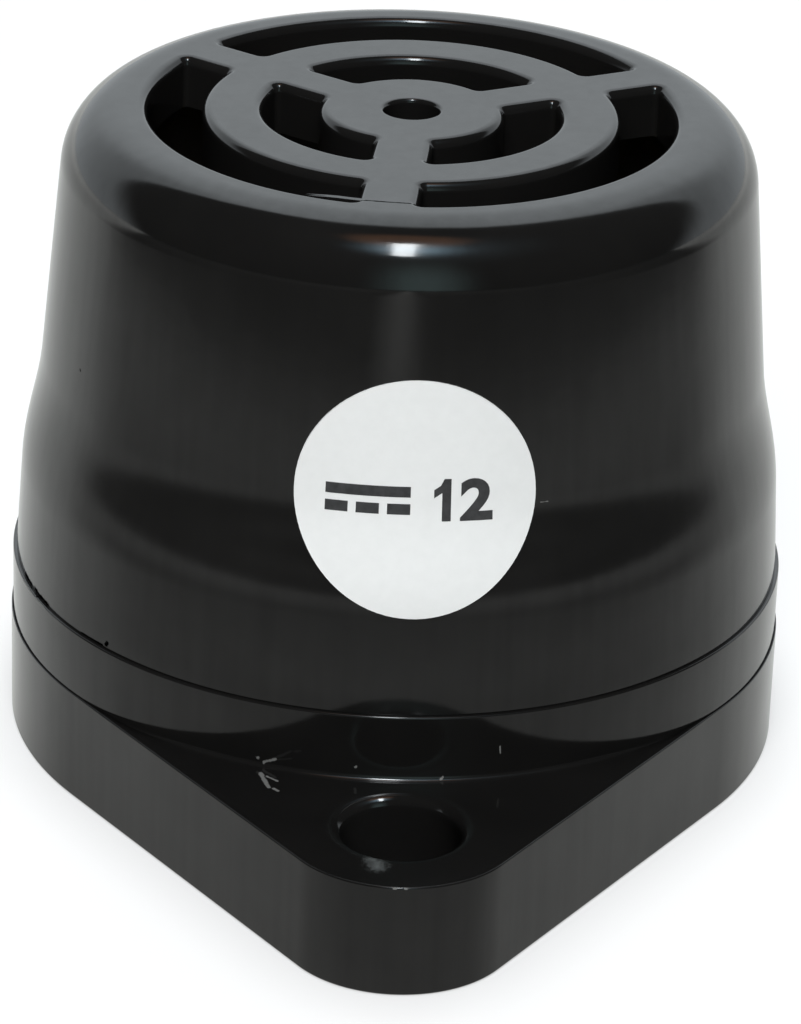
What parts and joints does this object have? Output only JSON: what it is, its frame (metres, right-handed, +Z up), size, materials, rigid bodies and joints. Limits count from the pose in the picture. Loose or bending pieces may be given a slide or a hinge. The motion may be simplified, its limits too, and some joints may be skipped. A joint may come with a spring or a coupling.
{
  "type": "piezo alarm sounder",
  "caption": "Round black mini piezo alarm sounder: bell-shaped cap with a concentric grille, glued on a base with screw ears for fixing to a surface.",
  "frame": {"origin": "centre of the flat mounting face under the base", "axes": "+Z up through the grille, +/-Y along the two mounting ears, the round label faces -Y"},
  "size_m": [0.0432, 0.0658, 0.0357],
  "materials": {
    "housing_plastic": "glossy moulded black",
    "label_paper": "coated white paper",
    "brass_sheet": "thin rolled sheet",
    "piezo_ceramic": "silvered ceramic",
    "soft_adhesive": "cured silicone",
    "board_laminate": "phenolic board",
    "steel_wire": "tinned steel",
    "solder": "bright solder",
    "ferrite": "dark grey ferrite",
    "copper_wire": "enamelled copper wire",
    "component_plastic": "moulded component body",
    "can_sleeve": "dark blue film on a sealed can",
    "capacitor_coating": "ochre dipped coating",
    "resistor_coating": "beige coating",
    "red_insulation": "red lead insulation",
    "black_insulation": "black lead insulation"
  },
  "bodies": {
    "root": {"base_housing": "housing_plastic", "cap_housing": "housing_plastic", "rating_label": "label_paper", "piezo_disc": "brass_sheet", "piezo_ceramic": "piezo_ceramic", "disc_adhesive": "soft_adhesive", "disc_solder": "solder", "circuit_board": "board_laminate", "board_screws": "steel_wire", "solder_joints": "solder", "transformer_core": "ferrite", "transformer_winding": "copper_wire", "transformer_pins": "steel_wire", "driver_chip": "component_plastic", "chip_legs": "steel_wire", "transistor": "component_plastic", "transistor_legs": "steel_wire", "supply_capacitor": "can_sleeve", "capacitor_legs": "steel_wire", "timing_capacitor": "capacitor_coating", "timing_capacitor_legs": "steel_wire", "resistors": "resistor_coating", "resistor_legs": "steel_wire", "diode": "component_plastic", "diode_legs": "steel_wire", "piezo_lead_brass": "black_insulation", "piezo_lead_ceramic": "red_insulation"}
  },
  "joints": []
}
